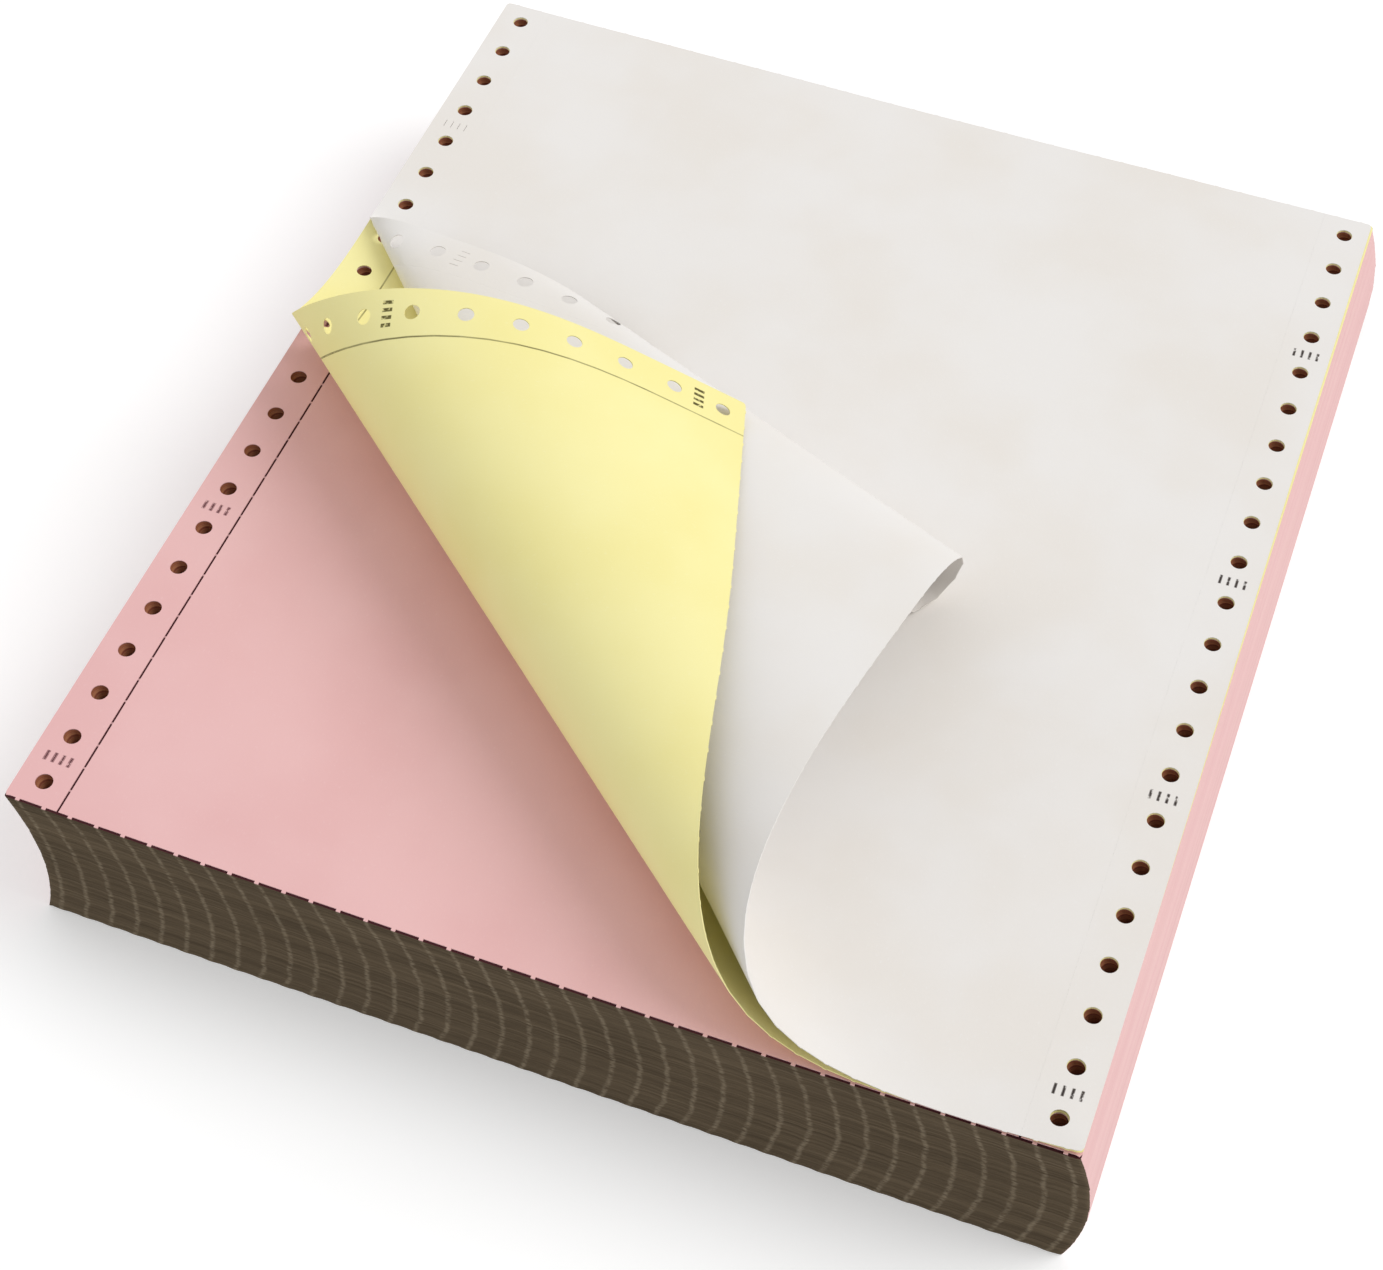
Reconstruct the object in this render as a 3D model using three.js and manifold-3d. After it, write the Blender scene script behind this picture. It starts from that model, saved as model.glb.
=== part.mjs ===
// A pack of fanfold continuous form paper in three plies, standing on its underside.
// The origin is the centre of the underside, +X is the right margin and +Y the back fold.
// The front left corners of the top white and yellow plies are peeled up and curl over to the right.
import * as THREE from "three";
import Module from "manifold-3d";

const wasm = await Module();
wasm.setup();

// Driving dimensions of the form, in millimetres.
const formWidth = 241.3;
const formLength = 279.4;
const packHeight = 45.1;
const sheetThickness = 0.3;

// Tractor feed holes along both margins.
const holeDiameter = 4;
const holePitch = 12.7;
const holeInset = 6.35;
const holeSides = 10;
const boreOvershoot = 1;

// The fan folds that show at the front and back of the pack.
const foldPitch = 1.5;
const foldDepth = 0.5;

// How far the stacked forms have slid to the right, as a curve over the height of the pack.
const driftAtMiddle = 4.6;
const driftAtBottom = 1.5;
const driftLevels = 4;

// A peeled ply rolls up about straight lines that all pass through one point beyond its edge.
// The apex is measured from the front left corner of the form, and angles are in degrees.
// The turns say how tightly it rolls at even steps through the span: each is the turning, in
// degrees, that the whole roll would make at that tightness.
const yellowCurl = {
  apexRight: 531.3,
  apexBack: -299.4,
  startAngle: 137.27,
  span: 11.32,
  side: 1,
  turns: [0, 257, 417.7, 292, 191.3, 97.4, 0],
};
const whiteCurl = {
  apexRight: -29.1,
  apexBack: 219.2,
  startAngle: -35.88,
  span: 48,
  side: -1,
  turns: [0, 19.2, 1089.6, 297.6, 76.8, 0, 384, 1363.2, 0],
};
const curlStrips = 26;
const stepsPerStrip = 8;
const weldDistance = 0.005;
const cutTolerance = 0.001;

const paperColours = { pack: 0x6f6551, pink: 0xe6b1b2, yellow: 0xf3eaa0, white: 0xe9e7e3 };

// Sizes that follow from the driving dimensions.
const leftEdge = -formWidth / 2;
const frontEdge = -formLength / 2;
const holesPerMargin = Math.floor(formLength / holePitch);
const firstHole = (-(holesPerMargin - 1) * holePitch) / 2;
const sheetSpan = Math.hypot(formWidth, formLength);

// Centres of the tractor holes, counted from the front of each margin.
function holeCentres() {
  const centres = [];
  for (const side of [-1, 1]) {
    for (let i = 0; i < holesPerMargin; i++) {
      const x = side * (formWidth / 2 - holeInset);
      centres.push(new THREE.Vector2(x, firstHole + i * holePitch));
    }
  }
  return centres;
}

// The outline of one form, which is cut square.
function formOutline() {
  const shape = new THREE.Shape();
  shape.moveTo(leftEdge, frontEdge);
  shape.lineTo(-leftEdge, frontEdge);
  shape.lineTo(-leftEdge, -frontEdge);
  shape.lineTo(leftEdge, -frontEdge);
  shape.closePath();
  return shape;
}

// A round hole drawn as a polygon.
function holeRing(Ring, centre) {
  const ring = new Ring();
  for (let i = 0; i < holeSides; i++) {
    const angle = (2 * Math.PI * (i + 0.5)) / holeSides;
    const x = centre.x + (holeDiameter / 2) * Math.cos(angle);
    const y = centre.y + (holeDiameter / 2) * Math.sin(angle);
    if (i === 0) ring.moveTo(x, y);
    else ring.lineTo(x, y);
  }
  ring.closePath();
  return ring;
}

// A list of points in which each place is kept once.
class Corners {
  constructor(points = []) {
    this.points = [];
    points.forEach((point) => this.indexOf(point));
  }

  indexOf(point) {
    const near = this.points.findIndex((p) => p.distanceToSquared(point) < weldDistance ** 2);
    if (near >= 0) return near;
    this.points.push(point);
    return this.points.length - 1;
  }
}

// Joins triangles, given as triples of points, into one indexed geometry.
function weld(triangles) {
  const corners = new Corners();
  const indexed = triangles.map((triangle) => triangle.map((p) => corners.indexOf(p)));
  const geometry = new THREE.BufferGeometry().setFromPoints(corners.points);
  geometry.setIndex(indexed.filter((triple) => new Set(triple).size === 3).flat());
  return geometry;
}

// Whether a point lies on the straight edge between two others, clear of its ends.
function liesAlong(point, start, end) {
  const closest = new THREE.Line3(start, end).closestPointToPoint(point, true, new THREE.Vector3());
  const fromEnds = Math.min(closest.distanceTo(start), closest.distanceTo(end));
  return closest.distanceTo(point) < cutTolerance && fromEnds > weldDistance;
}

// Splits a triangle wherever one of the given points lies along an edge. A flat sliver is dropped.
function splitAt(points, triangle) {
  for (let k = 0; k < 3; k++) {
    const [a, b, c] = [0, 1, 2].map((i) => triangle[(k + i) % 3]);
    const between = points.find((point) => liesAlong(point, a, b));
    if (between && between.distanceTo(c) < weldDistance) return [];
    if (between) return [...splitAt(points, [a, between, c]), ...splitAt(points, [between, b, c])];
  }
  return [triangle];
}

// The triangles of a geometry, as triples of points.
function trianglesOf(geometry) {
  const position = geometry.getAttribute("position");
  const index = geometry.index;
  const count = index ? index.count : position.count;
  const triangles = [];
  for (let i = 0; i < count; i += 3) {
    const corners = [i, i + 1, i + 2].map((k) => (index ? index.getX(k) : k));
    triangles.push(corners.map((k) => new THREE.Vector3().fromBufferAttribute(position, k)));
  }
  return triangles;
}

function toSolid(geometry) {
  const welded = weld(trianglesOf(geometry));
  return new wasm.Manifold(
    new wasm.Mesh({
      numProp: 3,
      vertProperties: welded.getAttribute("position").array,
      triVerts: new Uint32Array(welded.index.array),
    }),
  );
}

function toGeometry(solid) {
  const mesh = solid.getMesh();
  const geometry = new THREE.BufferGeometry();
  geometry.setAttribute("position", new THREE.BufferAttribute(mesh.vertProperties, 3));
  geometry.setIndex(new THREE.BufferAttribute(mesh.triVerts, 1));
  return geometry;
}

// How far the forms at a height in the pack have slid to the right.
function drift(z) {
  const depth = 1 - z / packHeight;
  const bow = 4 * driftAtMiddle - 2 * driftAtBottom;
  return depth * (driftAtBottom + bow * (1 - depth));
}

function slide(geometry) {
  const position = geometry.getAttribute("position");
  for (let i = 0; i < position.count; i++) {
    position.setX(i, position.getX(i) + drift(position.getZ(i)));
  }
  return geometry;
}

// The pack below the peeled form: its folds alternate between the front and the back.
function foldedBlock() {
  const folds = 2 * Math.round(packHeight / foldPitch);
  const geometry = new THREE.ExtrudeGeometry(formOutline(), {
    depth: packHeight,
    steps: folds,
    bevelEnabled: false,
  });
  const position = geometry.getAttribute("position");
  for (let i = 0; i < position.count; i++) {
    const level = Math.round((position.getZ(i) / packHeight) * folds);
    const side = Math.sign(position.getY(i));
    const inner = level % 2 === (side < 0 ? 1 : 0);
    if (inner) position.setY(i, position.getY(i) - side * foldDepth);
  }
  return toSolid(slide(geometry));
}

// The tractor holes run down through every form, and follow the slide of the pack.
function foldedPack() {
  let pack = foldedBlock();
  for (const centre of holeCentres()) {
    const bore = new THREE.ExtrudeGeometry(holeRing(THREE.Shape, centre), {
      depth: packHeight + 2 * boreOvershoot,
      steps: driftLevels,
      bevelEnabled: false,
    });
    bore.translate(0, 0, -boreOvershoot);
    pack = pack.subtract(toSolid(slide(bore)));
  }
  return toGeometry(pack);
}

// A flat ply with its two rows of tractor holes.
function flatPly() {
  const shape = formOutline();
  shape.holes = holeCentres().map((centre) => holeRing(THREE.Path, centre));
  return new THREE.ExtrudeGeometry(shape, {
    depth: sheetThickness,
    bevelEnabled: false,
  });
}

// The roll of a peeled ply, worked out as a frame that turns about the apex.
class Roll {
  constructor(curl) {
    this.side = curl.side;
    this.apex = new THREE.Vector3(leftEdge + curl.apexRight, frontEdge + curl.apexBack, 0);
    this.start = THREE.MathUtils.degToRad(curl.startAngle);
    this.span = THREE.MathUtils.degToRad(curl.span);
    this.step = this.span / (curlStrips * stepsPerStrip);
    this.frames = this.turn(curl.turns.map((turn) => turn / curl.span));
  }

  // The direction along the sheet from the apex, and the sheet's normal, at each small step.
  // The bends are the turning per degree about the apex.
  turn(bends) {
    const along = new THREE.Vector3(Math.cos(this.start), Math.sin(this.start), 0);
    const normal = new THREE.Vector3(0, 0, 1);
    const frames = [{ along: along.clone(), normal: normal.clone() }];
    for (let i = 0; i < curlStrips * stepsPerStrip; i++) {
      const place = ((i + 0.5) / (curlStrips * stepsPerStrip)) * (bends.length - 1);
      const knot = Math.floor(place);
      const bend = THREE.MathUtils.lerp(bends[knot], bends[knot + 1], place - knot);
      const axis = normal.clone().addScaledVector(along, bend).multiplyScalar(this.side);
      const angle = axis.length() * this.step;
      axis.normalize();
      along.applyAxisAngle(axis, angle);
      normal.applyAxisAngle(axis, angle);
      frames.push({ along: along.clone(), normal: normal.clone() });
    }
    return frames;
  }

  // The angle of a point past the line where the sheet leaves the pack.
  angleOf(point) {
    const offset = point.clone().sub(this.apex);
    const angle = this.side * (Math.atan2(offset.y, offset.x) - this.start);
    return THREE.MathUtils.euclideanModulo(angle + Math.PI, 2 * Math.PI) - Math.PI;
  }

  // Where a point of the flat sheet goes, with its height kept along the sheet's normal.
  place(point) {
    const angle = this.angleOf(point);
    if (angle <= 0) return point.clone();
    const reach = Math.hypot(point.x - this.apex.x, point.y - this.apex.y);
    const last = this.frames.length - 1;
    const whole = Math.min(angle / this.step, last);
    const knot = Math.min(Math.floor(whole), last - 1);
    const along = this.frames[knot].along.clone();
    along.lerp(this.frames[knot + 1].along, whole - knot);
    const normal = this.frames[knot].normal.clone();
    normal.lerp(this.frames[knot + 1].normal, whole - knot);
    const beyond = angle - this.span;
    if (beyond > 0) along.applyAxisAngle(normal, this.side * beyond);
    return this.apex.clone().addScaledVector(along, reach).addScaledVector(normal, point.z);
  }

  // A flat wedge between two angles about the apex, tall enough to cut right through the sheet.
  wedge(from, to) {
    const reach = 2 * (this.apex.length() + sheetSpan);
    const corner = (angle) => {
      const turned = this.start + this.side * angle;
      return [this.apex.x + reach * Math.cos(turned), this.apex.y + reach * Math.sin(turned)];
    };
    const shape = new THREE.Shape();
    shape.moveTo(this.apex.x, this.apex.y);
    shape.lineTo(...corner(from));
    shape.lineTo(...corner(to));
    shape.closePath();
    const wedge = new THREE.ExtrudeGeometry(shape, { depth: 3 * sheetThickness, bevelEnabled: false });
    wedge.translate(0, 0, -sheetThickness);
    return toSolid(wedge);
  }
}

// A peeled ply: cut into strips along the straight lines of its roll, bent, and joined again.
function curledPly(curl) {
  const roll = new Roll(curl);
  const flapAngle = THREE.MathUtils.degToRad(60);
  const cuts = Array.from({ length: curlStrips + 1 }, (_, i) => (i * roll.span) / curlStrips);
  const sheet = toSolid(flatPly());
  const pieces = cuts.slice(1).map((cut, i) => sheet.intersect(roll.wedge(cuts[i], cut)));
  const flap = roll.wedge(roll.span, roll.span + flapAngle);
  pieces.push(sheet.intersect(flap));
  const lifted = cuts.slice(1).reduce((rest, cut, i) => rest.subtract(roll.wedge(cuts[i], cut)), sheet);
  pieces.push(lifted.subtract(flap));

  // The cut faces between strips go, and strips that meet along a cut share all their corners.
  const onCut = (cut, p) => Math.abs(roll.angleOf(p) - cut) * sheetSpan < cutTolerance;
  const isCutFace = (triangle) => cuts.some((cut) => triangle.every((p) => onCut(cut, p)));
  const faces = pieces.filter((piece) => !piece.isEmpty()).flatMap((piece) => trianglesOf(toGeometry(piece)));
  const skin = faces.filter((triangle) => !isCutFace(triangle));
  const shared = new Corners(skin.flat().filter((p) => cuts.some((cut) => onCut(cut, p))));
  const strips = skin.flatMap((triangle) => splitAt(shared.points, triangle));
  return weld(strips.map((triangle) => triangle.map((p) => roll.place(p))));
}

// A named piece of paper, raised to its level in the pack.
function paper(name, geometry, colour, level) {
  const material = new THREE.MeshStandardMaterial({ color: colour, roughness: 0.9, metalness: 0 });
  geometry.computeVertexNormals();
  const mesh = new THREE.Mesh(geometry, material);
  mesh.name = name;
  mesh.position.z = level;
  return mesh;
}

const group = new THREE.Group();
group.add(
  paper("folded_pack", foldedPack(), paperColours.pack, 0),
  paper("pink_ply", flatPly(), paperColours.pink, packHeight),
  paper("yellow_ply", curledPly(yellowCurl), paperColours.yellow, packHeight + sheetThickness),
  paper("white_ply", curledPly(whiteCurl), paperColours.white, packHeight + 2 * sheetThickness),
);

export default group;
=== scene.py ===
import bpy
import math
import random
import numpy as np
from mathutils import Matrix, Quaternion, Vector
from mathutils.geometry import delaunay_2d_cdt


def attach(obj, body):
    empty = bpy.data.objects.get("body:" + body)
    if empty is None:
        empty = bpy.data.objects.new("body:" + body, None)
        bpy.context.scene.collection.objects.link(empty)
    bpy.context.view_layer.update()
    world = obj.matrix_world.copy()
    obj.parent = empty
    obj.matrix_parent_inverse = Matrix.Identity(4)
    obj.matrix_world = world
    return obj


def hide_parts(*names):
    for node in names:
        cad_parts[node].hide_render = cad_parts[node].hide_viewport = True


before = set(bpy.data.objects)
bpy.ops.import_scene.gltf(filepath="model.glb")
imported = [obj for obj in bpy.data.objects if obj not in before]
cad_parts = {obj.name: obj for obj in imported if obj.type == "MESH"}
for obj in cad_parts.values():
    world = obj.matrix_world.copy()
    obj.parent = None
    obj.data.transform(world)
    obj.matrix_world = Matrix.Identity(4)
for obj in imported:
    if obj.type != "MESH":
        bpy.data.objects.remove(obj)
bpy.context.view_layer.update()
print("frame loaded")

mm = 0.001

# What every form in the pack shares, in metres, with its centre at the origin
form = {
    "width": 241.3 * mm,
    "length": 279.4 * mm,
    "cornerRadius": 1.2 * mm,
    "slackFrom": 0.6,  # half lengths before the middle where a right edge starts to lie in
    "sideStep": 2.2 * mm,  # between the points of a side edge
    "holeDiameter": 4.0 * mm,
    "holePitch": 12.7 * mm,
    "holeInset": 6.35 * mm,
    "holesPerMargin": 22,
    "holeSides": 20,
    "perfPitch": 6.35 * mm,
    "perfInset": 12.7 * mm,
    "tieWidth": 0.95 * mm,  # what is left uncut along the folds
    "sideTieWidth": 0.5 * mm,  # and along the margins
    "crimpsAfter": (0, 6, 11, 17),  # holes counted from the front
    "crimpSlits": 4,
    "crimpPitch": 1.9 * mm,
    "crimpLength": 2.5 * mm,
    "packTop": 45.1 * mm,
}
halfWidth = form["width"] / 2
halfLength = form["length"] / 2
holeLine = halfWidth - form["holeInset"]
perfLine = halfWidth - form["perfInset"]
firstHole = -(form["holesPerMargin"] - 1) * form["holePitch"] / 2
crimpLines = [firstHole + (hole + 0.5) * form["holePitch"] for hole in form["crimpsAfter"]]
tieCount = round(form["width"] / form["perfPitch"])
tieCentres = [-halfWidth + (k + 0.5) * form["perfPitch"] for k in range(tieCount)]
cornerShare = 0.3  # how far in a corner's middle point lies, as a share of its radius

# How loosely the whole pack lies
settling = {
    "dip": 1.9 * mm,
    "dipAtBack": 0.5,
    "dipFade": 6.0 * mm,
    "ripple": 0.1 * mm,
    "rippleAcross": (52, 1),  # how fast it waves and where it starts, in radians
    "rippleAlong": (41, 2),
    "slantRipple": (130, -70),
    "slantShare": 0.4,
    "driftAtMiddle": 4.6 * mm,
    "driftAtBottom": 1.5 * mm,
}


def drift(z):  # how far the forms at a height have slid to the right
    depth = 1 - z / form["packTop"]
    bow = 4 * settling["driftAtMiddle"] - 2 * settling["driftAtBottom"]
    return depth * (settling["driftAtBottom"] + bow * (1 - depth))


def settle(points):  # the pack dips across its middle, and all that lies on it follows
    x, y, z = points.T
    across = 1 - np.clip(x / halfWidth, -1, 1) ** 2
    toFront = np.clip(0.5 - y / form["length"], 0, 1)
    share = settling["dipAtBack"] + (1 - settling["dipAtBack"]) * toFront
    (paceX, startX), (paceY, startY) = settling["rippleAcross"], settling["rippleAlong"]
    slantX, slantY = settling["slantRipple"]
    ripple = 1 + np.sin(paceX * x + startX) * np.sin(paceY * y + startY)
    ripple += settling["slantShare"] * np.sin(slantX * x + slantY * y)
    dip = settling["dip"] * across * share + settling["ripple"] * ripple
    below = np.clip(z / form["packTop"], 0, 1)
    above = np.exp(-np.clip(z - form["packTop"], 0, None) / settling["dipFade"])
    return np.column_stack([x, y, z - dip * below * above])


paperShine = 0.25


class Val:  # a socket that takes part in plain sums
    def __init__(self, finish, socket):
        self.finish = finish
        self.socket = socket

    def sum(self, operation, first, second=0.0):
        return self.finish.node("ShaderNodeMath", {"operation": operation}, {0: first, 1: second})

    def __add__(self, other):
        return self.sum("ADD", self, other)

    def __radd__(self, other):
        return self.sum("ADD", other, self)

    def __sub__(self, other):
        return self.sum("SUBTRACT", self, other)

    def __rsub__(self, other):
        return self.sum("SUBTRACT", other, self)

    def __mul__(self, other):
        return self.sum("MULTIPLY", self, other)

    def __rmul__(self, other):
        return self.sum("MULTIPLY", other, self)

    def __truediv__(self, other):
        return self.sum("DIVIDE", self, other)

    def __rtruediv__(self, other):
        return self.sum("DIVIDE", other, self)

    def __abs__(self):
        return self.sum("ABSOLUTE", self)

    def fract(self):
        return self.sum("FRACT", self)

    def fade(self, start, end):  # 0 at the start and 1 at the end, with soft ends
        sockets = {"Value": self, "From Min": start, "From Max": end}
        return self.finish.node("ShaderNodeMapRange", {"interpolation_type": "SMOOTHSTEP"}, sockets)


class Finish:  # the nodes of a material, or of the world
    def __init__(self, owner):
        owner.use_nodes = True
        self.owner = owner
        self.tree = owner.node_tree
        self.tree.nodes.clear()

    def node(self, kind, settings, sockets, out=0):
        made = self.tree.nodes.new(kind)
        for key, value in settings.items():
            setattr(made, key, value)
        for key, value in sockets.items():
            if isinstance(value, Val):
                self.tree.links.new(value.socket, made.inputs[key])
            else:
                made.inputs[key].default_value = value
        return Val(self, made.outputs[out]) if made.outputs else None

    def blend(self, amount, first, second):  # colours, which are sockets 6 and 7 and output 2
        sockets = {0: amount, 6: first, 7: second}
        return self.node("ShaderNodeMix", {"data_type": "RGBA"}, sockets, 2)

    def place(self, across=1, up=1):  # metres over the flat sheet, stretched for drawn-out grain
        spot = self.node("ShaderNodeUVMap", {"uv_map": "sheetPlace"}, {})
        sockets = {0: spot, 1: (across, up, 1)}
        return self.node("ShaderNodeVectorMath", {"operation": "MULTIPLY"}, sockets)

    def part(self, spot, axis):
        return self.node("ShaderNodeSeparateXYZ", {}, {0: spot}, axis)

    def noise(self, where, scale, detail=2.0, rough=0.5):
        sockets = {"Vector": where, "Scale": scale, "Detail": detail, "Roughness": rough}
        return self.node("ShaderNodeTexNoise", {}, sockets)

    def lines(self, look):  # fine lines, drawn out along the edges of the sheets
        return self.noise(self.place(look["lineStretch"], 1), look["lineScale"], 3, 0.7)

    def bump(self, height, strength, depth):
        sockets = {"Strength": strength, "Distance": depth, "Height": height}
        return self.node("ShaderNodeBump", {}, sockets)

    def wear(self, colour, roughness, normal):  # the shader that closes a paper finish
        sockets = {"Base Color": colour, "Roughness": roughness, "Normal": normal}
        sockets["Specular IOR Level"] = paperShine
        shader = self.node("ShaderNodeBsdfPrincipled", {}, sockets)
        self.node("ShaderNodeOutputMaterial", {}, {"Surface": shader})
        return self.owner


def screen(red, green, blue):  # a colour as it reads on a screen, 0 to 255
    parts = [part / 255 for part in (red, green, blue)]
    linear = [p / 12.92 if p <= 0.04045 else ((p + 0.055) / 1.055) ** 2.4 for p in parts]
    return (*linear, 1.0)


# The grain, and the painted shade of the crimp and perforation slits, that the three papers share
paperGrain = {
    "cloudScale": 22,
    "cloudFade": (0.35, 0.68),
    "fibreScale": 1500,
    "fibreStretch": 0.55,
    "fibreDetail": 5,
    "fibreRough": 0.62,
    "fleckFade": (0.56, 0.75),
    "flecks": 0.35,
    "gritScale": 4200,
    "gritShare": 0.3,
    "depth": 0.08 * mm,
    "roughnessSpread": 0.12,
    "crimpFade": (1.15 * mm, 1.45 * mm),  # along a crimp, from its middle
    "crimpEdge": 0.1,
    "crimpBreaks": 900,
    "crimpBreakFade": (0.3, 0.5),
    "marginFade": 10 * mm,  # from one margin's marks to the other's
    "perfFade": (0.12 * mm, 0.32 * mm),
    "perfBreaks": 70,
    "perfBreakFade": (0.3, 0.6),
    "perfLeast": 0.45,
}


def paperFinish(name, look):
    finish = Finish(bpy.data.materials.new(name))
    spot = finish.place()
    cloud = finish.noise(spot, paperGrain["cloudScale"], 3)
    stretched = finish.place(1, paperGrain["fibreStretch"])
    scale, detail, rough = (paperGrain["fibre" + word] for word in ("Scale", "Detail", "Rough"))
    fibre = finish.noise(stretched, scale, detail, rough)
    grit = finish.noise(spot, paperGrain["gritScale"], 3)
    tone = finish.blend(cloud.fade(*paperGrain["cloudFade"]), look["light"], look["deep"])
    flecks = fibre.fade(*paperGrain["fleckFade"]) * paperGrain["flecks"]
    colour = finish.blend(flecks, tone, look["fleck"])

    # the crimps that hold the plies together are cut as real slits; the shade in them is painted as
    # four short dark marks in a row
    across, along = finish.part(spot, "X"), finish.part(spot, "Y")
    margin = (abs(across) - holeLine) / form["crimpPitch"]
    rowEnd = form["crimpSlits"] / 2
    reach = look["crimpShadeReach"]
    inRow = 1 - abs(margin).fade(rowEnd - paperGrain["crimpEdge"], rowEnd)
    onSlit = 1 - abs(margin.fract() - 0.5).fade(reach, reach + paperGrain["crimpEdge"])
    onRow = sum(1 - abs(along - line).fade(*paperGrain["crimpFade"]) for line in crimpLines)
    broken = finish.noise(spot, paperGrain["crimpBreaks"]).fade(*paperGrain["crimpBreakFade"])
    # the left margin may show less of the painted crimp shade than the right
    toRight = across.fade(-paperGrain["marginFade"], paperGrain["marginFade"])
    atLeft = look["crimpShading"] * look["leftShare"]
    strength = atLeft + toRight * (look["crimpShading"] - atLeft)
    colour = finish.blend(inRow * onSlit * onRow * broken * strength, colour, look["slitShade"])

    # and along each margin's cut line, painted shade of the slits darkens the paper in broken
    # stretches
    fromPerf = abs(abs(across) - perfLine)
    perfShadeBreaks = finish.noise(spot, paperGrain["perfBreaks"]).fade(*paperGrain["perfBreakFade"])
    onPerf = 1 - fromPerf.fade(*paperGrain["perfFade"])
    onPerf = onPerf * (paperGrain["perfLeast"] + perfShadeBreaks * (1 - paperGrain["perfLeast"]))
    colour = finish.blend(onPerf * look["perfShade"], colour, look["slitShade"])

    height = fibre * (1 - paperGrain["gritShare"]) + grit * paperGrain["gritShare"]
    normal = finish.bump(height, look["bump"], paperGrain["depth"])
    roughness = look["roughness"] + fibre * paperGrain["roughnessSpread"]
    return finish.wear(colour, roughness, normal)


def combedEdge(y, inward):  # the fold's perforation leaves a row of small ties along the edge
    half = form["tieWidth"] / 2
    edge = []
    for x in tieCentres:
        edge += [(x - half, y + inward), (x - half, y), (x + half, y), (x + half, y + inward)]
    return edge


def formOutline(look):
    radius = form["cornerRadius"]
    inset = cornerShare * radius
    comb = look["comb"]
    corner = [
        (halfWidth - radius, -halfLength + comb),
        (halfWidth - inset, -halfLength + inset),
        (halfWidth, -halfLength + radius),
    ]
    front = combedEdge(-halfLength, comb) + corner
    back = combedEdge(halfLength, -comb)[::-1]
    rightBack = [(x, -y) for x, y in corner[::-1]]
    leftBack = [(-x, -y) for x, y in corner]
    leftFront = [(-x, y) for x, y in corner[::-1]]
    stepCount = round(form["length"] / form["sideStep"])
    spots = [-halfLength + k * form["sideStep"] for k in range(1, stepCount)]
    rightSide = [(halfWidth, y) for y in spots]
    leftSide = [(-halfWidth, y) for y in spots[::-1]]
    loop = front + rightSide + rightBack + back + leftBack + leftSide + leftFront
    # the front edge may lie back a little, and the right one in, most at the back fold
    trimmed = []
    for x, y in loop:
        toBack = min(1, max(0, y / halfLength + form["slackFrom"]))
        x = x - look["slackAtRight"] * toBack if x > halfWidth - radius else x
        y = y + look["setBack"] if y < -halfLength + radius else y
        trimmed.append((x, y))
    return trimmed


def holeCentres():
    ups = [firstHole + i * form["holePitch"] for i in range(form["holesPerMargin"])]
    return [(side * holeLine, y) for side in (-1, 1) for y in ups]


def ring(centre, diameter, sides):
    turns = [2 * math.pi * (i + 0.5) / sides for i in range(sides)]
    x, y = centre
    return [(x + diameter / 2 * math.cos(t), y + diameter / 2 * math.sin(t)) for t in turns]


def slit(x, y, wide, long):
    left, right, low, high = x - wide / 2, x + wide / 2, y - long / 2, y + long / 2
    return [(left, low), (right, low), (right, high), (left, high)]


def cutsOfForm(look):
    cuts = [ring(centre, look["holeDiameter"], form["holeSides"]) for centre in holeCentres()]
    dash = form["perfPitch"] - form["sideTieWidth"]
    dashCount = round(form["length"] / form["perfPitch"])
    for side in (-1, 1):
        for k in range(dashCount):
            y = -halfLength + (k + 0.5) * form["perfPitch"]
            cuts.append(slit(side * perfLine, y, look["perfWidth"], dash))
        for y in crimpLines:
            for k in range(form["crimpSlits"]):
                x = side * holeLine + (k - (form["crimpSlits"] - 1) / 2) * form["crimpPitch"]
                cuts.append(slit(x, y, look["crimpWidth"], form["crimpLength"]))
    return cuts


def gridSpots(step):  # spots spread evenly inside a form, and each one's column and row
    columns, rows = int(form["width"] / step), int(form["length"] / step)
    cells = [(i, j) for i in range(1, columns) for j in range(1, rows)]
    wide, deep = form["width"], form["length"]
    spots = [(-halfWidth + i * wide / columns, -halfLength + j * deep / rows) for i, j in cells]
    return np.array(cells), np.array(spots)


def fillLoops(loops, spots):  # triangles inside the first loop and outside the others
    points = [Vector(p) for loop in loops for p in loop] + [Vector(p) for p in spots]
    rings = []
    start = 0
    for loop in loops:
        rings.append(list(range(start, start + len(loop))))
        start += len(loop)
    insideOnly, weldReach = 1, 1e-7
    found = delaunay_2d_cdt(points, [], rings, insideOnly, weldReach, True)
    places, triangles, fromPoints, fromRings = found[0], found[2], found[3], found[5]
    kept = [list(t) for t, owners in zip(triangles, fromRings) if list(owners) == [0]]
    return places, kept, fromPoints


rollSteps = 208


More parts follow.
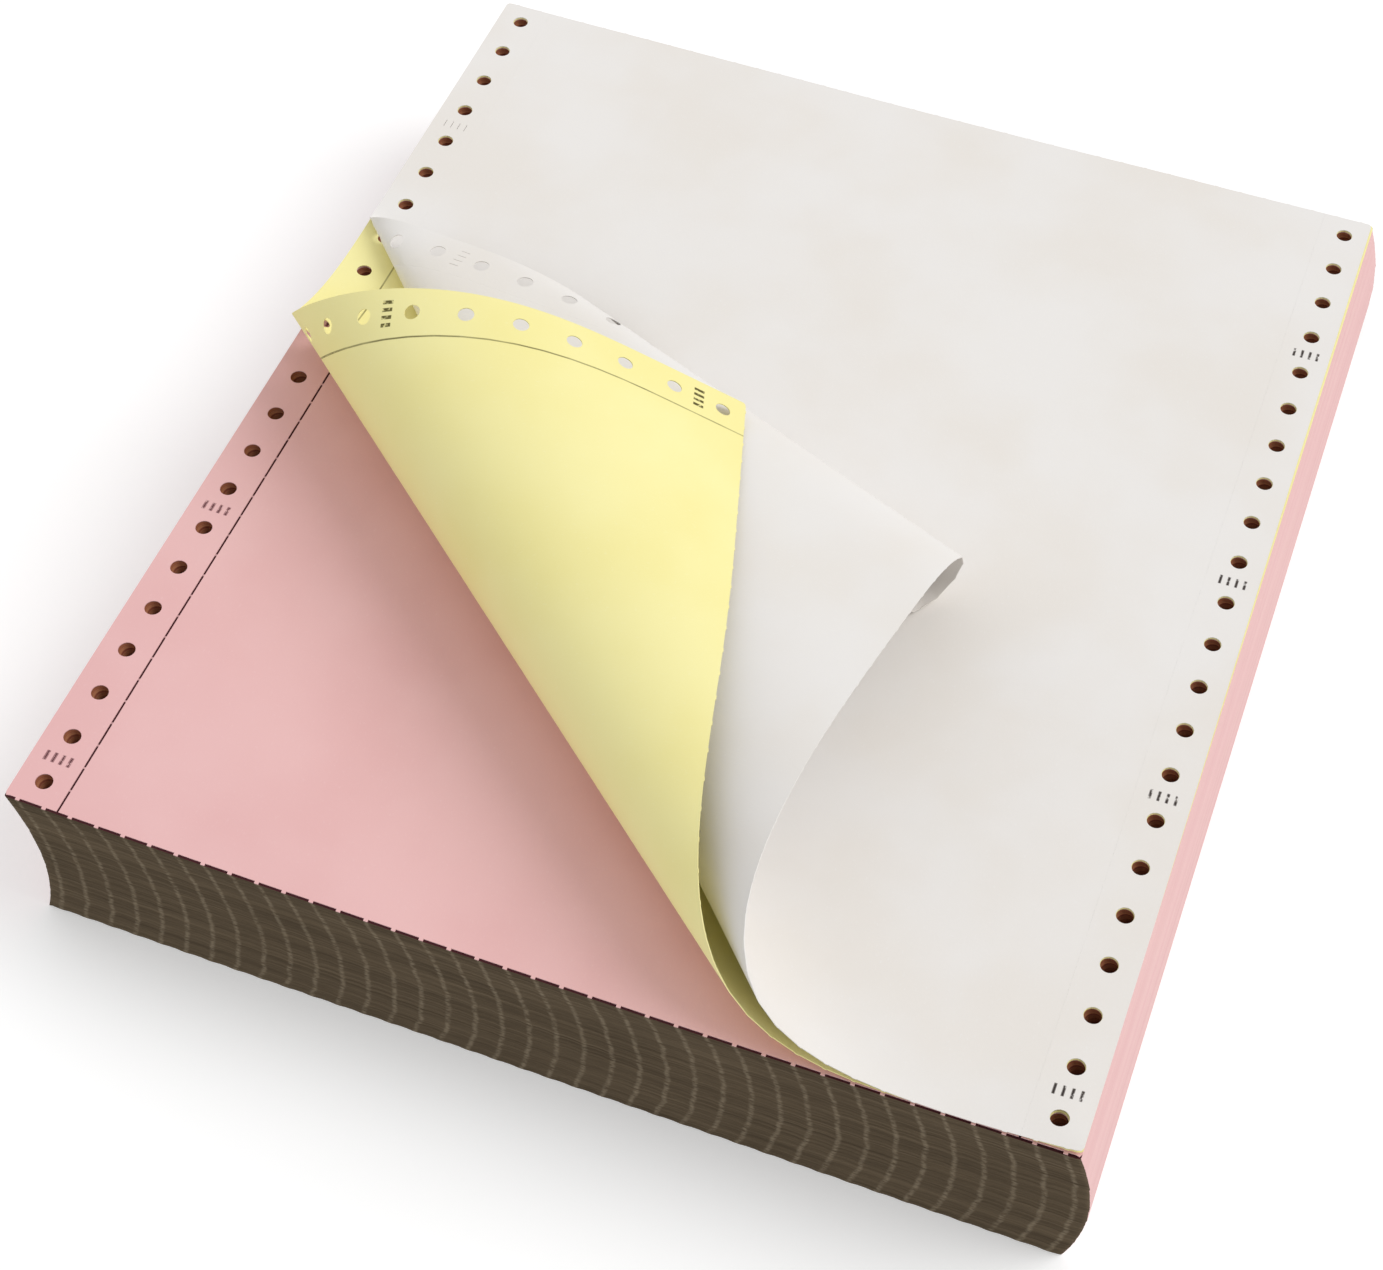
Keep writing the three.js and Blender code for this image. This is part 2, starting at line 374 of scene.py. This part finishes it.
# A peeled corner turns about straight lines that meet at one far point, the apex. The apex is
# measured from the front left corner, and the angles are in degrees about it. The turns are the
# bend at evenly spaced places, each as the degrees that it would make over the whole roll.
class Roll:
    def __init__(self, look):
        self.side = look["side"]
        self.apex = np.array([-halfWidth + look["apexRight"], -halfLength + look["apexBack"]])
        self.start = math.radians(look["startAngle"])
        self.span = math.radians(look["span"])
        self.step = self.span / rollSteps
        along = Vector((math.cos(self.start), math.sin(self.start), 0))
        normal = Vector((0, 0, 1))
        alongs, normals = [along.copy()], [normal.copy()]
        bends = [turn / look["span"] for turn in look["turns"]]  # turning per degree
        for i in range(rollSteps):
            place = (i + 0.5) / rollSteps * (len(bends) - 1)
            knot = int(place)
            bend = bends[knot] + (bends[knot + 1] - bends[knot]) * (place - knot)
            axis = self.side * (normal + bend * along)
            turn = Quaternion(axis.normalized(), axis.length * self.step)
            along.rotate(turn)
            normal.rotate(turn)
            alongs.append(along.copy())
            normals.append(normal.copy())
        self.along = np.array(alongs)
        self.normal = np.array(normals)

    def angleOf(self, flat):
        offset = flat - self.apex
        angle = self.side * (np.arctan2(offset[:, 1], offset[:, 0]) - self.start)
        return (angle + math.pi) % (2 * math.pi) - math.pi

    def place(self, flat, height):
        reach = np.hypot(*(flat - self.apex).T)[:, None]
        angle = self.angleOf(flat)
        whole = np.clip(angle / self.step, 0, rollSteps)
        knot = np.minimum(whole.astype(int), rollSteps - 1)
        part = (whole - knot)[:, None]
        along = self.along[knot] * (1 - part) + self.along[knot + 1] * part
        normal = self.normal[knot] * (1 - part) + self.normal[knot + 1] * part
        past = self.side * np.clip(angle - self.span, 0, None)[:, None]
        along = along * np.cos(past) + np.cross(normal, along) * np.sin(past)
        out = np.append(self.apex, 0) + along * reach + normal * height
        still = angle <= 0
        out[still] = np.column_stack([flat, np.full(len(flat), height)])[still]
        return out


sharpAngle = math.radians(38)


def buildMesh(name, points, faces, spots, materials, kinds):
    mesh = bpy.data.meshes.new(name)
    mesh.from_pydata([tuple(p) for p in points], [], faces)
    layer = mesh.uv_layers.new(name="sheetPlace")
    layer.data.foreach_set("uv", np.asarray(spots, dtype=np.float32).ravel())
    for material in materials:
        mesh.materials.append(material)
    mesh.polygons.foreach_set("material_index", np.asarray(kinds, dtype=np.int32))
    mesh.shade_smooth()
    mesh.set_sharp_from_angle(angle=sharpAngle)
    mesh.update()
    piece = bpy.data.objects.new(name, mesh)
    bpy.context.scene.collection.objects.link(piece)
    return piece


plies = {
    "pink": {
        "light": screen(235, 190, 190),
        "deep": screen(231, 183, 183),
        "fleck": screen(240, 203, 203),
        "bump": 0.35,
        "roughness": 0.72,
        # slitShade is painted shade: the dark colour laid along the crimp and perforation slits
        "slitShade": screen(112, 58, 66),
        "crimpShading": 0.75,
        "crimpShadeReach": 0.17,  # half of a mark's width, in slit pitches
        "leftShare": 1,  # how much of the painted crimp shade the left margin shows
        "perfShade": 0.6,
        "level": 45.1 * mm,
        "gap": 0.04 * mm,
        "thickness": 0.2 * mm,
        "grid": 3.0 * mm,
        "comb": 0.55 * mm,  # depth of the torn edge between its ties
        "holeDiameter": 4.0 * mm,
        "perfWidth": 0.5 * mm,
        "crimpWidth": 0.2 * mm,
        "setBack": 0,
        "slackAtRight": 0,
        "cornerLift": 0.4 * mm,
        "cornerReach": 30 * mm,
    },
    "yellow": {
        "light": screen(248, 240, 172),
        "deep": screen(245, 235, 160),
        "fleck": screen(251, 246, 198),
        "bump": 0.35,
        "roughness": 0.7,
        "slitShade": screen(88, 80, 34),
        "crimpShading": 0.95,
        "crimpShadeReach": 0.2,
        "leftShare": 1,
        "perfShade": 0.75,
        "level": 45.4 * mm,
        "gap": 0.05 * mm,
        "thickness": 0.2 * mm,
        "grid": 2.2 * mm,
        "comb": 0.15 * mm,
        "holeDiameter": 3.8 * mm,
        "perfWidth": 0.06 * mm,
        "crimpWidth": 0.12 * mm,
        "setBack": 0.45 * mm,
        "slackAtRight": 0,
        "cornerLift": 1.3 * mm,
        "cornerReach": 30 * mm,
        "apexRight": 531.3 * mm,
        "apexBack": -299.4 * mm,
        "startAngle": 137.27,
        "span": 11.32,
        "side": 1,
        "turns": (0, 257, 417.7, 292, 191.3, 97.4, 0),
    },
    "white": {
        "light": screen(237, 234, 231),
        "deep": screen(234, 229, 223),
        "fleck": screen(241, 240, 238),
        "bump": 0.3,
        "roughness": 0.7,
        "slitShade": screen(52, 38, 34),
        "crimpShading": 0.9,
        "crimpShadeReach": 0.12,
        "leftShare": 0,
        "perfShade": 0,
        "level": 45.7 * mm,
        "gap": 0.06 * mm,
        "thickness": 0.18 * mm,
        "grid": 2.2 * mm,
        "comb": 0.12 * mm,
        "holeDiameter": 4.0 * mm,
        "perfWidth": 0.01 * mm,
        "crimpWidth": 0.14 * mm,
        "setBack": 0,
        "slackAtRight": 0.5 * mm,
        "cornerLift": 2.6 * mm,
        "cornerReach": 30 * mm,
        "apexRight": -29.1 * mm,
        "apexBack": 219.2 * mm,
        "startAngle": -35.88,
        "span": 48,
        "side": -1,
        "turns": (0, 19.2, 1089.6, 297.6, 76.8, 0, 384, 1363.2, 0),
    },
}
rollMargin = 0.02  # radians before a roll where the mesh is already fine


def plySheet(name, look, material, roll=None):
    cells, flat = gridSpots(look["grid"])
    kept = (cells % 2 == 0).all(axis=1)
    if roll:
        kept |= roll.angleOf(flat) > -rollMargin
    loops = [formOutline(look)] + cutsOfForm(look)
    places, triangles, _ = fillLoops(loops, flat[kept].tolist())
    used = sorted({i for t in triangles for i in t})
    index = {old: new for new, old in enumerate(used)}
    triangles = [[index[i] for i in t] for t in triangles]
    flat = np.array([tuple(places[i])[:2] for i in used])
    count = len(flat)
    low, high = look["gap"], look["gap"] + look["thickness"]
    if roll:
        top, bottom = roll.place(flat, high), roll.place(flat, low)
    else:
        top, bottom = (np.column_stack([flat, np.full(count, z)]) for z in (high, low))
    # the loose front right corner stands up a little
    near = np.hypot(flat[:, 0] - halfWidth, flat[:, 1] + halfLength)
    lift = look["cornerLift"] * np.clip(1 - near / look["cornerReach"], 0, 1) ** 2
    points = np.vstack([top, bottom])
    points[:, 2] += look["level"] + np.tile(lift, 2)
    edges = {(t[k], t[(k + 1) % 3]) for t in triangles for k in range(3)}
    rims = [(a, b) for a, b in sorted(edges) if (b, a) not in edges]
    faces = triangles + [[i + count for i in reversed(t)] for t in triangles]
    faces += [[a, a + count, b + count, b] for a, b in rims]
    spots = flat[[i % count for face in faces for i in face]]
    return buildMesh(name, settle(points), faces, spots, [material], [0] * len(faces))


pinkPaper = paperFinish("pink paper", plies["pink"])
yellowPaper = paperFinish("yellow paper", plies["yellow"])
whitePaper = paperFinish("white paper", plies["white"])
print("paper finishes made")

yellowRoll = Roll(plies["yellow"])
whiteRoll = Roll(plies["white"])
pinkPly = plySheet("pinkPly", plies["pink"], pinkPaper)
yellowPly = plySheet("yellowPly", plies["yellow"], yellowPaper, yellowRoll)
whitePly = plySheet("whitePly", plies["white"], whitePaper, whiteRoll)
for piece, node, slot in (
    (pinkPly, "pink_ply", "pink_paper"),
    (yellowPly, "yellow_ply", "yellow_paper"),
    (whitePly, "white_ply", "white_paper"),
):
    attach(piece, "root")
    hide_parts(node)
print("top form made, with its corners peeled")

# The folded forms below the top one
folds = {
    "layers": 90,
    "rowsPerLayer": 2,
    "crest": 0.12 * mm,  # how unevenly the outer folds lie
    "valley": 0.42 * mm,
    "leastValley": 0.6,
    "sideShare": 0.4,  # of the crest's unevenness, on the cut sides
    "openBetweenTies": 0.14 * mm,
    "tieSlope": 1.0 * mm,
    "topInset": 0.05 * mm,
    "waves": (60, 23),
    "waveStarts": 6,
    "shift": 0.3 * mm,  # forms that slid a little on their own
    "shiftPace": 0.22,
    "shiftJumps": 0.05,
    "shiftFrom": 1 / 3,  # of the height, below which the forms hold their place more and more
    "columnsBesideTie": (-2.2 * mm, -0.5 * mm, 0.5 * mm, 2.2 * mm),
    "sideColumns": 36,
    "capGrid": 6.0 * mm,
    "cornerRadius": 0.5 * mm,
    "boreRows": 9,
    "boreSides": 16,
    "boreGirth": 12.5 * mm,
    "seed": 11,
}

# Painted shade: the fold edges are coloured dark olive brown, much darker than the white, yellow
# and pink paper they are folded from, for the shade they lie in; the ties are painted less dark
edgeLook = {
    "dark": screen(92, 79, 62),
    "light": screen(120, 105, 84),
    "tie": screen(164, 150, 128),
    "lineScale": 2400,
    "lineStretch": 0.012,
    "lineFade": (0.34, 0.68),
    "bandScale": 260,
    "bandStretch": 0.03,
    "bandFade": (0.35, 0.7),
    "stainScale": 38,
    "stainStretch": 2.5,
    "stainFade": (0.4, 0.7),
    "shares": (0.6, 0.25, 0.15),  # of the lines, the bands and the stains
    "swayScale": 190,
    "swayStretch": 0.2,
    "wander": 0.9 * mm,
    "tieCore": 0.1 * mm,
    "tieReach": 0.9 * mm,
    "tieBreaks": 1300,
    "tieBreakStretch": 0.4,
    "tieBreakFade": (0.3, 0.62),
    "tieStrength": 0.55,
    "tieHeight": 0.5,
    "bump": 0.7,
    "depth": 0.2 * mm,
    "roughness": 0.78,
    "roughnessSpread": 0.15,
}

sideLook = {
    "light": screen(231, 190, 189),
    "deep": screen(227, 183, 183),
    "line": screen(242, 224, 208),
    "lineScale": 5200,
    "lineStretch": 0.003,
    "lineFade": (0.45, 0.75),
    "lineStrength": 0.35,
    "bandScale": 520,
    "bandStretch": 0.006,
    "bandFade": (0.35, 0.7),
    "bump": 0.45,
    "depth": 0.15 * mm,
    "roughness": 0.75,
    "roughnessSpread": 0.12,
}

# Painted shade: the punched walls are the same paper edges as the cut sides, coloured brown and
# darker than them for the shade down the holes
boreLook = {
    "dark": screen(132, 72, 52),
    "light": screen(192, 132, 94),
    "lineScale": 2000,
    "lineStretch": 0.02,
    "lineFade": (0.35, 0.7),
    "bump": 0.5,
    "depth": 0.15 * mm,
    "roughness": 0.8,
    "roughnessSpread": 0.1,
}

# Painted shade: dark maroon for the top of the next form down, which lies in shade under the pink
# ply
paintedShadeLook = {
    "dark": screen(58, 18, 26),
    "light": screen(72, 26, 32),
    "cloudScale": 60,
    "bump": 0.2,
    "depth": 0.1 * mm,
    "roughness": 0.8,
    "roughnessSpread": 0.05,
}


def foldEdgeFinish(look):
    finish = Finish(bpy.data.materials.new("folded edges"))
    lines = finish.lines(look)
    bands = finish.noise(finish.place(look["bandStretch"], 1), look["bandScale"])
    stain = finish.noise(finish.place(1, look["stainStretch"]), look["stainScale"], 3)
    sway = finish.noise(finish.place(look["swayStretch"], 1), look["swayScale"], 3)
    across = finish.part(finish.place(), "X")
    wander = (sway - 0.5) * (2 * look["wander"])
    phase = (across + wander + halfWidth) / form["perfPitch"]
    beside = abs(phase.fract() - 0.5) * form["perfPitch"]
    broken = finish.noise(finish.place(look["tieBreakStretch"], 1), look["tieBreaks"])
    broken = broken.fade(*look["tieBreakFade"])
    tie = (1 - beside.fade(look["tieCore"], look["tieReach"])) * broken * look["tieStrength"]
    lineShare, bandShare, stainShare = look["shares"]
    shade = lines.fade(*look["lineFade"]) * lineShare + bands.fade(*look["bandFade"]) * bandShare
    shade = shade + stain.fade(*look["stainFade"]) * stainShare
    # painted shade over the whole folded face, a little lighter at the ties
    colour = finish.blend(tie, finish.blend(shade, look["dark"], look["light"]), look["tie"])
    normal = finish.bump(lines + tie * look["tieHeight"], look["bump"], look["depth"])
    return finish.wear(colour, look["roughness"] + lines * look["roughnessSpread"], normal)


def cutEdgeFinish(look):
    finish = Finish(bpy.data.materials.new("cut edges of the plies"))
    lines = finish.lines(look)
    bands = finish.noise(finish.place(look["bandStretch"], 1), look["bandScale"])
    pale = finish.blend(bands.fade(*look["bandFade"]), look["light"], look["deep"])
    onLine = lines.fade(*look["lineFade"]) * look["lineStrength"]
    colour = finish.blend(onLine, pale, look["line"])
    normal = finish.bump(lines, look["bump"], look["depth"])
    return finish.wear(colour, look["roughness"] + lines * look["roughnessSpread"], normal)


def boreFinish(look):
    finish = Finish(bpy.data.materials.new("punched walls"))
    lines = finish.lines(look)
    # painted shade of the holes, with real lines of the stacked sheets
    colour = finish.blend(lines.fade(*look["lineFade"]), look["dark"], look["light"])
    normal = finish.bump(lines, look["bump"], look["depth"])
    return finish.wear(colour, look["roughness"] + lines * look["roughnessSpread"], normal)


def paintedShadeFinish(look):  # painted shade: the next form down, seen only through the cuts of the pink ply, is coloured dark maroon for the shade in the slits and holes
    finish = Finish(bpy.data.materials.new("shaded form"))
    cloud = finish.noise(finish.place(), look["cloudScale"], 3)
    colour = finish.blend(cloud, look["dark"], look["light"])
    normal = finish.bump(cloud, look["bump"], look["depth"])
    return finish.wear(colour, look["roughness"] + cloud * look["roughnessSpread"], normal)


frontFace, rightFace, backFace, leftFace = range(4)
folded, cut, shaded, bored, underside = range(5)  # the pack's finishes


def packRing():  # points round the outline: x, y, the way in, and which face they are on
    radius = folds["cornerRadius"]
    inset = cornerShare * radius
    slant = 1 / math.sqrt(2)
    columns = sorted(x + step for x in tieCentres for step in folds["columnsBesideTie"])
    columns = [x for x in columns if abs(x) < halfWidth - radius]
    count = folds["sideColumns"]
    steps = [(2 * i / count - 1) * (halfLength - radius) for i in range(count + 1)]
    cornerX, cornerY = halfWidth - inset, halfLength - inset
    points = [(x, -halfLength, 0, 1, frontFace) for x in columns]
    points += [(cornerX, -cornerY, -slant, slant, frontFace)]
    points += [(halfWidth, y, -1, 0, rightFace) for y in steps]
    points += [(cornerX, cornerY, -slant, -slant, rightFace)]
    points += [(x, halfLength, 0, -1, backFace) for x in columns[::-1]]
    points += [(-cornerX, cornerY, slant, -slant, backFace)]
    points += [(-halfWidth, y, 1, 0, leftFace) for y in steps[::-1]]
    points += [(-cornerX, -cornerY, slant, slant, leftFace)]
    return np.array(points)


class Pack:  # the points of the folded forms, each one's place on its sheet, and the faces
    def __init__(self):
        self.points = []
        self.sheet = []
        self.faces = []
        self.kinds = []

    def add(self, points, sheet):
        first = len(self.points)
        self.points += [tuple(p) for p in points]
        self.sheet += [tuple(s) for s in sheet]
        return first

    def joinRings(self, low, high, kinds, inward=False):
        for k, kind in enumerate(kinds):
            after = (k + 1) % len(kinds)
            a, b = (after, k) if inward else (k, after)
            self.faces.append([low + a, low + b, high + b, high + a])
            self.kinds.append(kind)

    def spots(self):  # walls take their height for one way of the grain
        spots = []
        for kind, corners in zip(self.kinds, self.faces):
            for i in corners:
                across, along = self.sheet[i]
                height = self.points[i][2]
                if kind in (folded, bored):
                    spots.append((across, height))
                elif kind == cut:
                    spots.append((along, height))
                else:
                    spots.append((across, along))
        return spots


def addLayers(pack, outline):  # uneven layers, whose folds stand out and in by turns
    chance = random.Random(folds["seed"])
    rows = folds["layers"] * folds["rowsPerLayer"]
    around = len(outline)
    x, y, inX, inY, face = outline.T
    toTie = np.abs((x + halfWidth) / form["perfPitch"] % 1 - 0.5) * form["perfPitch"]
    between = np.clip((toTie - form["tieWidth"] / 2) / folds["tieSlope"], 0, 1)
    waveFast, waveSlow = folds["waves"]
    isFold = np.isin(face, (frontFace, backFace))
    kinds = [folded if here or after else cut for here, after in zip(isFold, np.roll(isFold, -1))]
    firsts = []
    slide = 0.5
    for row in range(rows + 1):
        z = form["packTop"] * row / rows
        slide += (chance.random() - slide) * folds["shiftPace"]  # a slow wander with small steps
        if chance.random() < folds["shiftJumps"]:
            slide = chance.random()
        crest = [chance.random() * folds["crest"] for _ in range(4)]
        share = folds["leastValley"] + (1 - folds["leastValley"]) * chance.random()
        phase = chance.random() * folds["waveStarts"]
        uneven = 0.5 + 0.5 * np.sin(x * waveFast + phase) * np.sin(x * waveSlow + 3 * phase)
        inset = np.zeros(around)
        for which in (frontFace, backFace):
            isValley = (row + which // 2) % 2 == 1  # the back folds where the front doesn't
            depth = crest[which] + (folds["valley"] * share if isValley else 0)
            depth = depth + folds["crest"] * uneven + folds["openBetweenTies"] * between
            inset = np.where(face == which, depth, inset)
        for which in (rightFace, leftFace):
            inset = np.where(face == which, folds["sideShare"] * crest[which], inset)
        slid = drift(z)
        if 0 < row < rows:
            loose = math.sin(math.pi * min(1, z / form["packTop"] / folds["shiftFrom"]) / 2)
            slid -= folds["shift"] * slide * loose
        if row == rows:
            inset = np.minimum(inset, folds["topInset"])
        ringX, ringY = x + inX * inset, y + inY * inset
        points = np.column_stack([ringX + slid, ringY, np.full(around, z)])
        firsts.append(pack.add(points, zip(x, y)))
    for low, high in zip(firsts, firsts[1:]):
        pack.joinRings(low, high, kinds)
    return firsts[0], firsts[-1]


def addBore(pack, centre):  # a feed hole runs down through every form
    loop = np.array(ring(centre, form["holeDiameter"], folds["boreSides"]))
    count = len(loop)
    sheet = list(zip(np.linspace(0, folds["boreGirth"], count), loop[:, 1]))
    firsts = []
    for row in range(folds["boreRows"] + 1):
        z = form["packTop"] * row / folds["boreRows"]
        points = np.column_stack([loop[:, 0] + drift(z), loop[:, 1], np.full(count, z)])
        firsts.append(pack.add(points, sheet))
    for low, high in zip(firsts, firsts[1:]):
        pack.joinRings(low, high, [bored] * count, inward=True)
    return firsts[0], firsts[-1]


def addCap(pack, loops, isTop):  # the pack's flat top or underside
    z = form["packTop"] if isTop else 0
    _, inner = gridSpots(folds["capGrid"])
    inner = inner + (drift(z), 0)
    flat = [[pack.points[i][:2] for i in loop] for loop in loops]
    places, triangles, origins = fillLoops(flat, inner.tolist())
    known = [i for loop in loops for i in loop]
    index = {}
    for i in sorted({i for t in triangles for i in t}):
        old = origins[i][0] if len(origins[i]) else len(known)
        if old < len(known):
            index[i] = known[old]
        else:
            x, y = places[i]
            index[i] = pack.add([(x, y, z)], [(x, y)])
    for t in triangles:
        pack.faces.append([index[i] for i in (t if isTop else t[::-1])])
        pack.kinds.append(shaded if isTop else underside)


def foldedForms():
    pack = Pack()
    outline = packRing()
    walls = [addLayers(pack, outline)]
    walls += [addBore(pack, centre) for centre in holeCentres()]
    counts = [len(outline)] + [folds["boreSides"]] * (len(walls) - 1)
    for isTop in (True, False):
        firsts = [top if isTop else bottom for bottom, top in walls]
        loops = [list(range(first, first + count)) for first, count in zip(firsts, counts)]
        addCap(pack, loops, isTop)
    materials = [
        foldEdgeFinish(edgeLook),
        cutEdgeFinish(sideLook),
        paintedShadeFinish(paintedShadeLook),
        boreFinish(boreLook),
        pinkPaper,
    ]
    points = settle(np.array(pack.points))
    return buildMesh("foldedForms", points, pack.faces, pack.spots(), materials, pack.kinds)


foldedPack = foldedForms()
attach(foldedPack, "root")
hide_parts("folded_pack")
print("folded forms made")

stage = {
    "floorSize": 6.0,
    "floorColour": (0.86, 0.86, 0.86, 1),
    "floorGlow": 0.24,
    "white": (1, 1, 1, 1),
    "skyStrength": 0.68,
    "keyStrength": 1.35,
    "keyAngle": 38,
    "keyFrom": (0.75, 0.3, 0.85),  # the way to the lamp: from the right and a little behind
}

floorMesh = bpy.data.meshes.new("floor")
half = stage["floorSize"] / 2
corners = [(-half, -half, 0), (half, -half, 0), (half, half, 0), (-half, half, 0)]
floorMesh.from_pydata(corners, [], [[0, 1, 2, 3]])
floor = bpy.data.objects.new("floor", floorMesh)
bpy.context.scene.collection.objects.link(floor)
floorFinish = Finish(bpy.data.materials.new("pale floor"))
rays = ("Is Camera Ray", "Is Glossy Ray", "Is Transmission Ray")
seen = sum(floorFinish.node("ShaderNodeLightPath", {}, {}, ray) for ray in rays)
matt = floorFinish.node("ShaderNodeBsdfDiffuse", {}, {"Color": stage["floorColour"]})
glowSockets = {"Color": stage["white"], "Strength": seen * stage["floorGlow"]}
glow = floorFinish.node("ShaderNodeEmission", {}, glowSockets)
both = floorFinish.node("ShaderNodeAddShader", {}, {0: matt, 1: glow})
floorFinish.node("ShaderNodeOutputMaterial", {}, {"Surface": both})
floorMesh.materials.append(floorFinish.owner)

# The sky lights the paper at one strength and shows white behind it
world = bpy.data.worlds.new("studio")
bpy.context.scene.world = world
sky = Finish(world)
skyLight = {"Color": stage["white"], "Strength": stage["skyStrength"]}
skySeen = {"Color": stage["white"], "Strength": 1}
skyParts = {
    0: sky.node("ShaderNodeLightPath", {}, {}, "Is Camera Ray"),
    1: sky.node("ShaderNodeBackground", {}, skyLight),
    2: sky.node("ShaderNodeBackground", {}, skySeen),
}
skyMix = sky.node("ShaderNodeMixShader", {}, skyParts)
sky.node("ShaderNodeOutputWorld", {}, {"Surface": skyMix})

keyLamp = bpy.data.lights.new("key", "SUN")
keyLamp.energy = stage["keyStrength"]
keyLamp.angle = math.radians(stage["keyAngle"])
key = bpy.data.objects.new("key", keyLamp)
key.rotation_euler = Vector(stage["keyFrom"]).to_track_quat("Z", "Y").to_euler()
bpy.context.scene.collection.objects.link(key)

view = {
    "azimuth": 19.9319,
    "elevation": 53.1222,
    "roll": 0.8495,
    "target": (3.2748 * mm, -46.4144 * mm, 46 * mm),
    "distance": 601.0962 * mm,
    "focalPixels": 2655.1349,
    "widthPixels": 1383,
    "sensor": 36,
    "nearest": 0.01,
    "farthest": 50,
}
turn, rise, tilt = (math.radians(view[name]) for name in ("azimuth", "elevation", "roll"))
back = Vector((math.sin(turn) * math.cos(rise), -math.cos(turn) * math.cos(rise), math.sin(rise)))
right = Vector((math.cos(turn), math.sin(turn), 0))
up = back.cross(right)
rolledRight = math.cos(tilt) * right + math.sin(tilt) * up
rolledUp = math.cos(tilt) * up - math.sin(tilt) * right
cameraData = bpy.data.cameras.new("camera")
cameraData.sensor_fit = "HORIZONTAL"
cameraData.sensor_width = view["sensor"]
cameraData.lens = view["focalPixels"] / view["widthPixels"] * view["sensor"]
cameraData.clip_start = view["nearest"]
cameraData.clip_end = view["farthest"]
camera = bpy.data.objects.new("camera", cameraData)
bpy.context.scene.collection.objects.link(camera)
pose = Matrix((rolledRight, rolledUp, back)).transposed().to_4x4()
pose.translation = Vector(view["target"]) + view["distance"] * back
camera.matrix_world = pose
bpy.context.scene.camera = camera
bpy.context.scene.view_settings.view_transform = "Standard"
print("stage, light and camera set")
